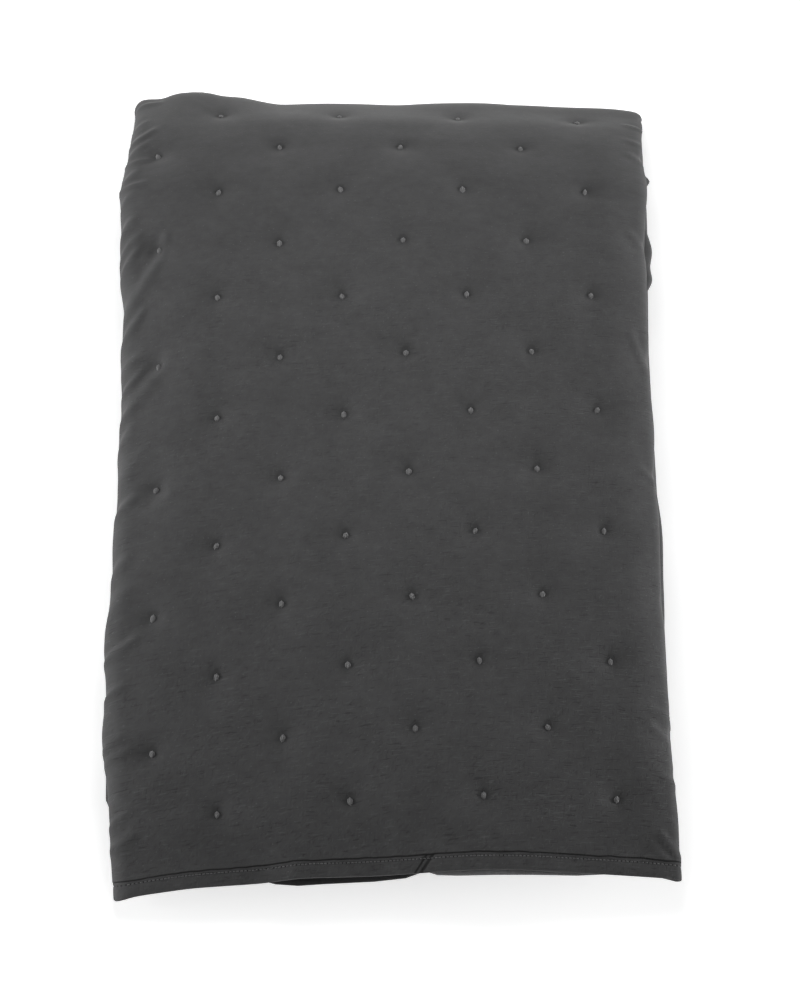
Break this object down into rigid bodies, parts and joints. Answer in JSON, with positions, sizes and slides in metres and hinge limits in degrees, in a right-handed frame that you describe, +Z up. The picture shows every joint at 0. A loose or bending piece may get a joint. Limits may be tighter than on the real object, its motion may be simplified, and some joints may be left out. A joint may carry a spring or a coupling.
{
  "type": "quilted bedspread",
  "caption": "Folded quilted bedspread: a tied, wadded cotton bed cover with a bound hem, folded into a low soft stack that lies flat on a bed, bench, shelf or floor.",
  "frame": {"origin": "on the floor, under the middle of the folded stack's bounding box", "axes": "+Z up, +Y from the bound front hem to the far fold, +X to the right seen from the front hem"},
  "size_m": [0.4704, 0.751, 0.1038],
  "materials": {
    "quilt_cotton": "matt washed cotton, charcoal",
    "binding_cotton": "matt washed cotton, charcoal"
  },
  "bodies": {
    "root": {"quilt": "quilt_cotton", "binding_front": "binding_cotton", "binding_inner": "binding_cotton"}
  },
  "joints": []
}
